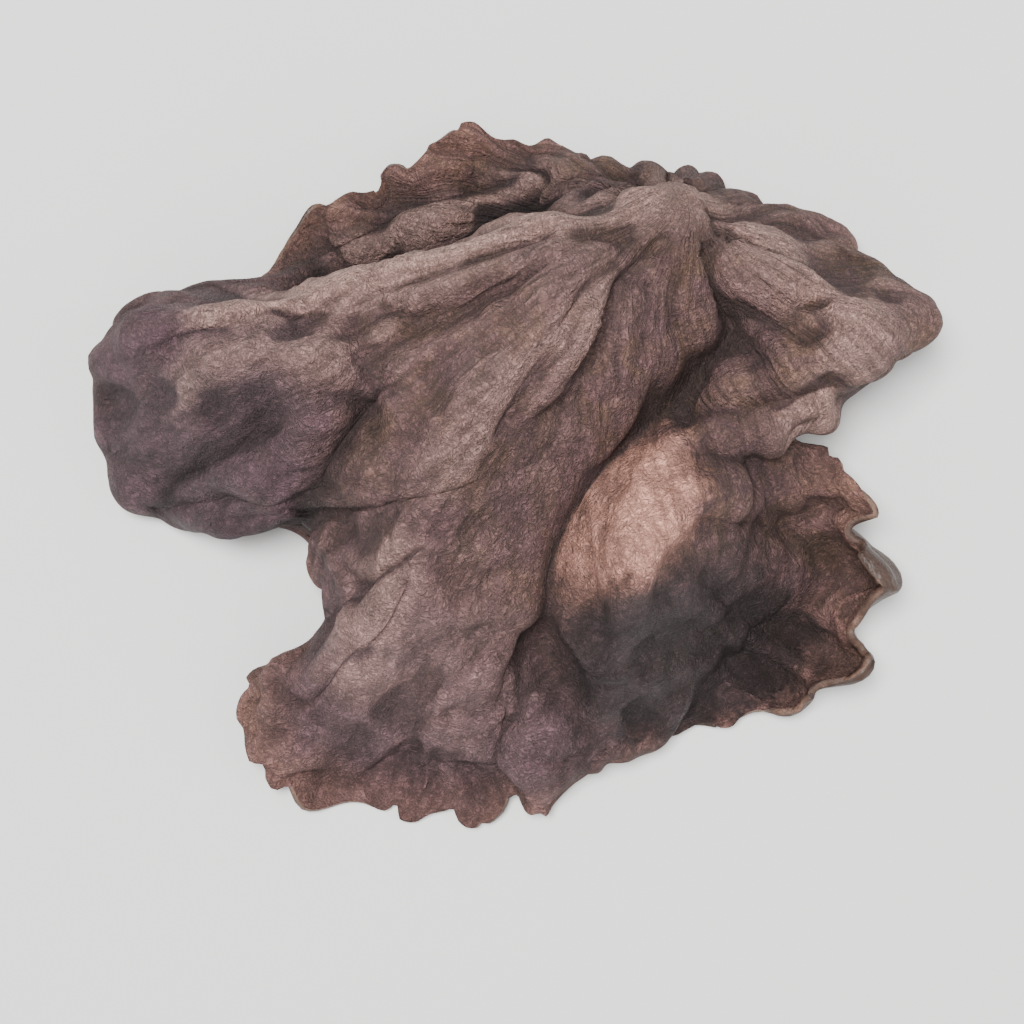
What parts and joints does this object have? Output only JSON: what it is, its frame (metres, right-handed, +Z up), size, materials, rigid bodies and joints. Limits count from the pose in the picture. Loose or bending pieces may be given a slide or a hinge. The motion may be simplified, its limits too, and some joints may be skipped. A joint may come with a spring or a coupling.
{
  "type": "dried wood ear mushroom",
  "caption": "Crumpled dried wood ear mushroom, a thin leathery cup with felted folds, a rolled wavy rim and a small foot, lying on its rim.",
  "frame": {"origin": "centre of the bounding box seen from above, on the surface the ear lies on", "axes": "+X along the ear's length, +Y towards the foot at the edge of the cup, +Z up out of the felted outer face"},
  "size_m": [0.048, 0.041, 0.016],
  "materials": {
    "ear": "matte"
  },
  "bodies": {
    "root": {"ear": "ear"}
  },
  "joints": []
}
